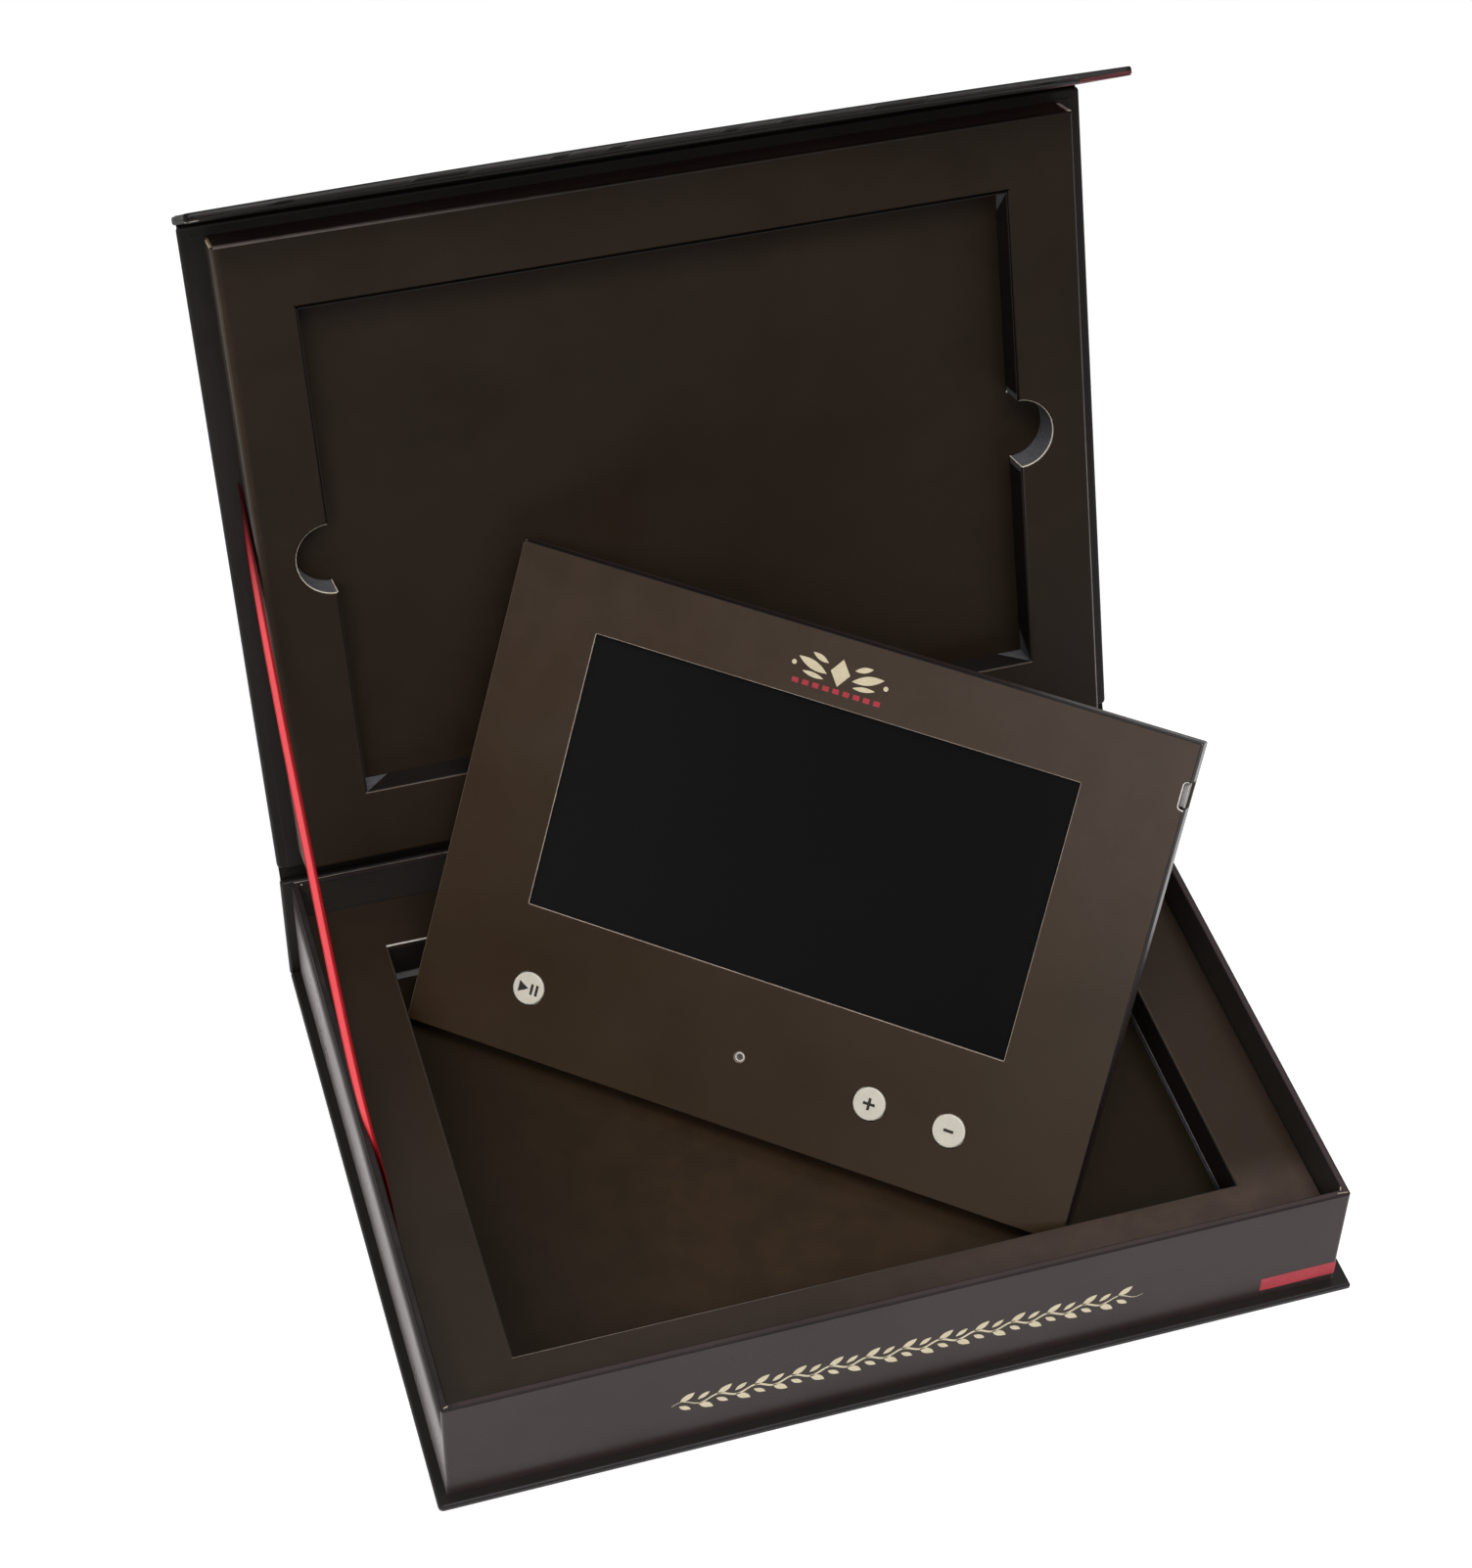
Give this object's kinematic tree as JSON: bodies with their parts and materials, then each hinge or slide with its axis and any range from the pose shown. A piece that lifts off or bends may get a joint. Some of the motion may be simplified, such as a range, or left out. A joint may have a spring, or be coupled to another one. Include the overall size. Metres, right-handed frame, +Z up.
{
  "type": "lcd video brochure",
  "caption": "Rigid presentation box with a tray base, a ribbon-stayed hinged cover with a closing flap, and a card-cased video player propped inside.",
  "frame": {"origin": "centre of the tray's footprint, on the underside of the base board", "axes": "+X to the right along the front wall, +Y to the spine at the back, +Z up off the table"},
  "size_m": [0.2782, 0.2855, 0.2693],
  "materials": {
    "wrapped_board": "matt laminated dark brown wrapping paper on grey board",
    "player_card": "matt laminated brown card",
    "raw_board": "cut edge of grey board",
    "foam": "die-cut foam",
    "magnet": "nickel plated",
    "ribbon": "red satin ribbon",
    "wrap_paper": "matt laminated dark brown paper",
    "button_cap": "cream, satin",
    "switch": "metal dome",
    "circuit_board": "green solder mask",
    "lcd_glass": "unlit screen, satin polariser",
    "lcd_frame": "pressed metal",
    "flex": "amber film",
    "battery": "foil pouch",
    "speaker": "black",
    "connector": "plated steel",
    "led": "clear lens"
  },
  "bodies": {
    "base": {"base_board": "wrapped_board", "base_magnet_left": "magnet", "base_magnet_right": "magnet", "insert_top": "wrapped_board", "insert_wall_back": "wrapped_board", "insert_wall_front": "wrapped_board", "insert_wall_left": "wrapped_board", "insert_wall_right": "wrapped_board", "pocket_floor": "wrapped_board", "pocket_foam": "foam", "ribbon": "ribbon", "ribbon_tail_base": "ribbon", "spine_board": "wrapped_board", "tray_floor": "wrapped_board", "tray_wall_back": "wrapped_board", "tray_wall_front": "wrapped_board", "tray_wall_left": "wrapped_board", "tray_wall_right": "wrapped_board"},
    "lid": {"cover_board": "wrapped_board", "flap_hinge_paper": "wrap_paper", "lid_backing": "wrapped_board", "lid_core": "foam", "lid_face": "wrapped_board", "lid_hinge_paper": "wrap_paper", "lid_wall_back": "wrapped_board", "lid_wall_front": "wrapped_board", "lid_wall_left": "wrapped_board", "lid_wall_right": "wrapped_board", "ribbon_tail_lid": "ribbon"},
    "flap": {"flap_board": "wrapped_board", "flap_magnet_left": "magnet", "flap_magnet_right": "magnet"},
    "player": {"battery": "battery", "button_board_left": "circuit_board", "button_board_right": "circuit_board", "lcd_backlight": "lcd_frame", "lcd_flex": "flex", "lcd_panel": "lcd_glass", "main_board": "circuit_board", "player_back": "player_card", "player_frame": "raw_board", "player_front": "player_card", "speaker": "speaker", "status_led": "led", "switch_minus": "switch", "switch_play": "switch", "switch_plus": "switch", "usb_board": "circuit_board", "usb_socket": "connector"},
    "play_button": {"button_play": "button_cap"},
    "plus_button": {"button_plus": "button_cap"},
    "minus_button": {"button_minus": "button_cap"}
  },
  "joints": [
    {"name": "lid_hinge", "type": "hinge", "parent": "base", "child": "lid", "pos_m": [0, 0.10615, 0.0452], "axis": [1, 0, 0], "range_deg": [0, 110], "deforming": ["ribbon", "lid_hinge_paper"]},
    {"name": "flap_hinge", "type": "hinge", "parent": "lid", "child": "flap", "pos_m": [0, 0.178, 0.2429], "axis": [1, 0, 0], "range_deg": [-74, 16], "deforming": ["flap_hinge_paper"]},
    {"name": "player_out", "type": "hinge", "parent": "base", "child": "player", "pos_m": [0, -0.213, 0.0205], "axis": [1, 0, 0], "range_deg": [0, 137.5]},
    {"name": "play_press", "type": "slide", "parent": "player", "child": "play_button", "axis": [0.5191, 0.6165, -0.592], "range_m": [0, 0.0004], "stiffness_N_per_m": 1500},
    {"name": "plus_press", "type": "slide", "parent": "player", "child": "plus_button", "axis": [0.5191, 0.6165, -0.592], "range_m": [0, 0.0004], "stiffness_N_per_m": 1500},
    {"name": "minus_press", "type": "slide", "parent": "player", "child": "minus_button", "axis": [0.5191, 0.6165, -0.592], "range_m": [0, 0.0004], "stiffness_N_per_m": 1500}
  ],
  "couplings": [
    {"joint": "player_out", "follows": "lid_hinge", "ratio": 1.25}
  ]
}
